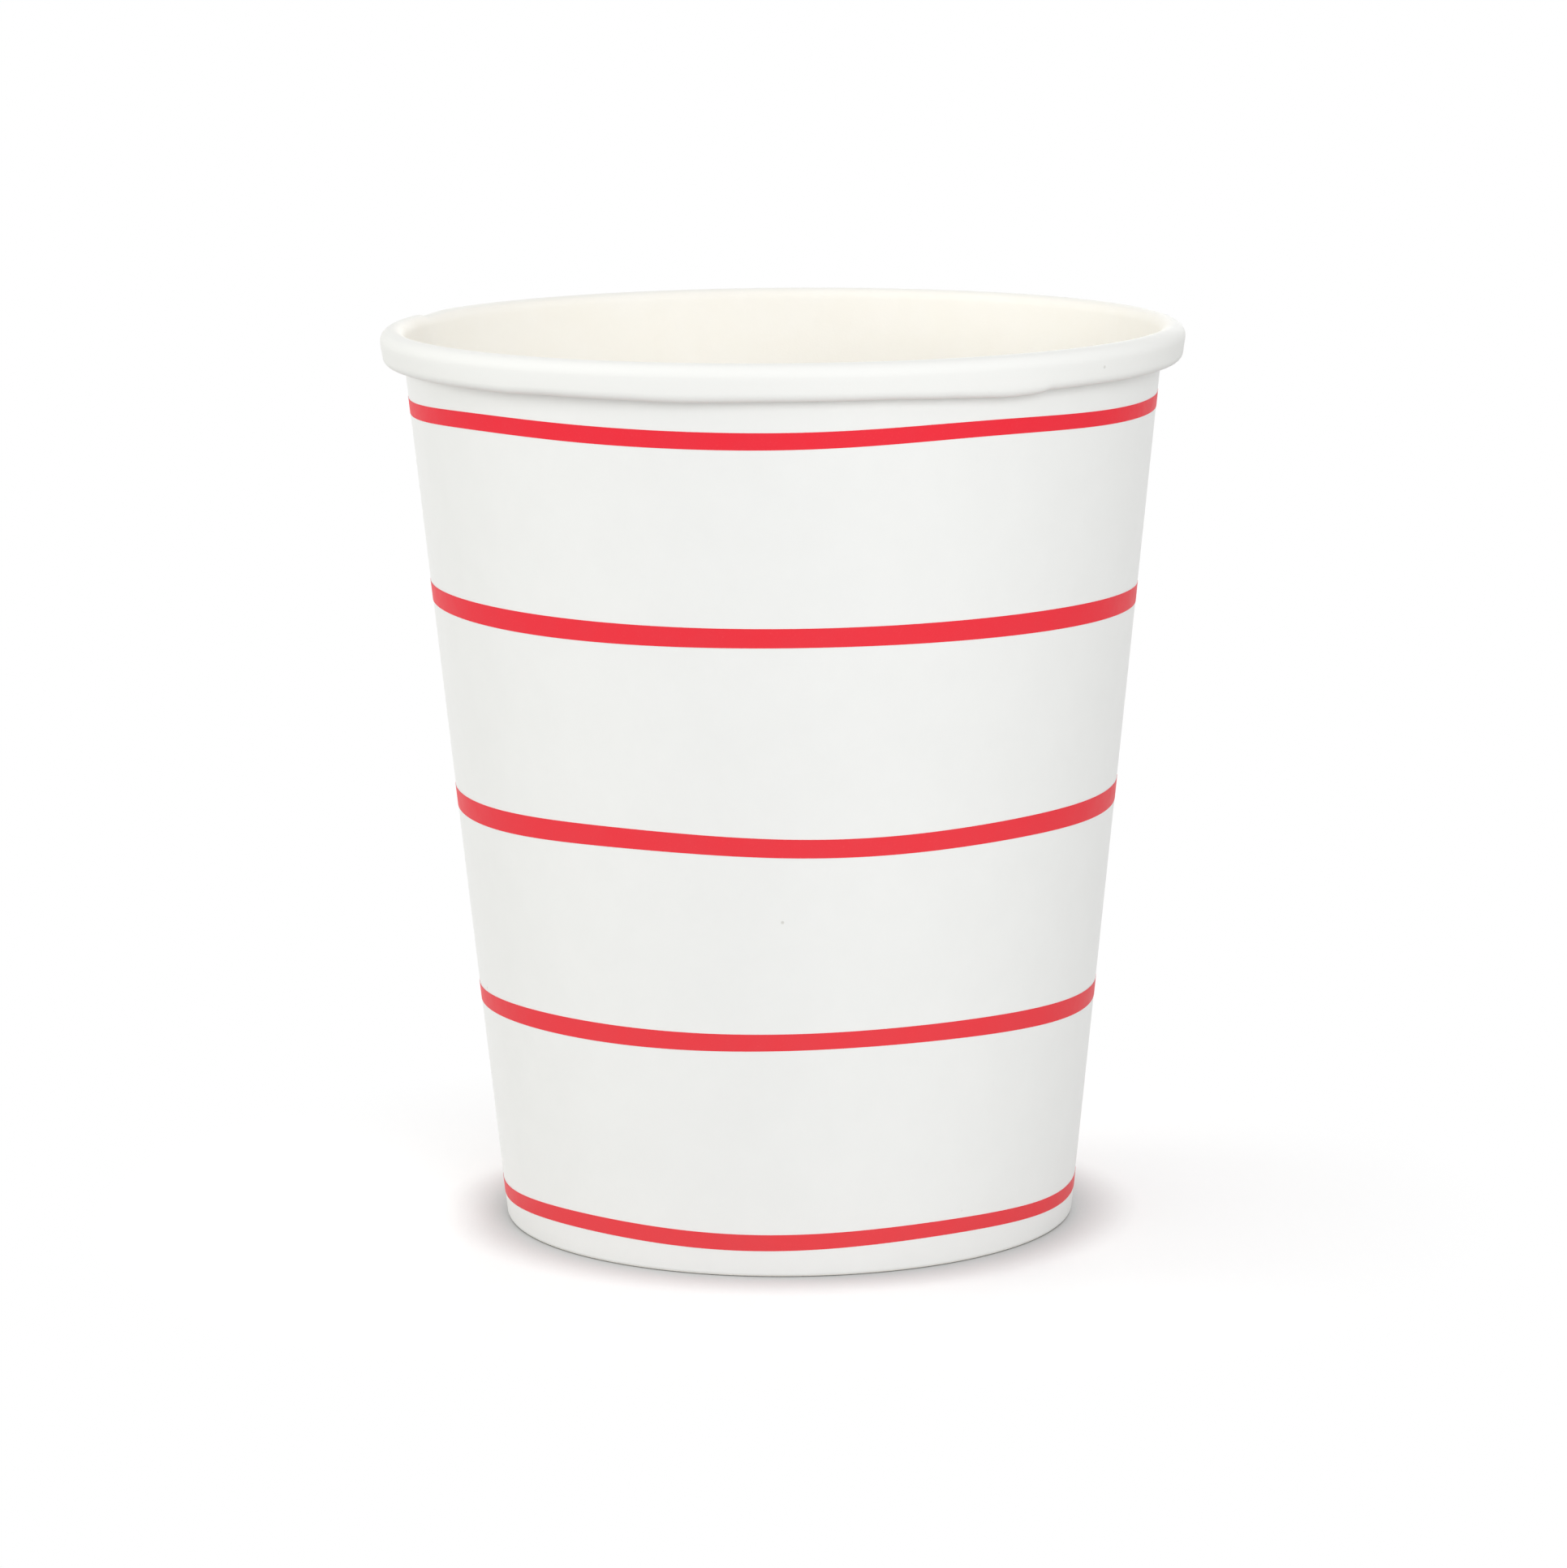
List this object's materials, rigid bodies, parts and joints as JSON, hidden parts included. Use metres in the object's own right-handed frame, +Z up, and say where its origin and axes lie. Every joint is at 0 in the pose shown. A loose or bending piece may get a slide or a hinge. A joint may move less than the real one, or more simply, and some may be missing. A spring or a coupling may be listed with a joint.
{
  "type": "paper cup",
  "caption": "Tapered paper drinking cup with a rolled rim, a glued side seam, a recessed pressed-in bottom and wavy red stripes round its white wall.",
  "frame": {"origin": "centre of the foot ring, on the surface that the cup stands on", "axes": "+Z up along the cup's axis towards the open rim; -Y is the front as pictured, +X to the right"},
  "size_m": [0.078, 0.078, 0.088],
  "materials": {
    "wall_board": "semi-gloss outside, matte inside and on the rim",
    "bottom_board": "matte",
    "red_ink": "semi-gloss print"
  },
  "bodies": {
    "root": {"side_wall": "wall_board", "bottom_disc": "bottom_board", "printed_stripes": "red_ink"}
  },
  "joints": []
}
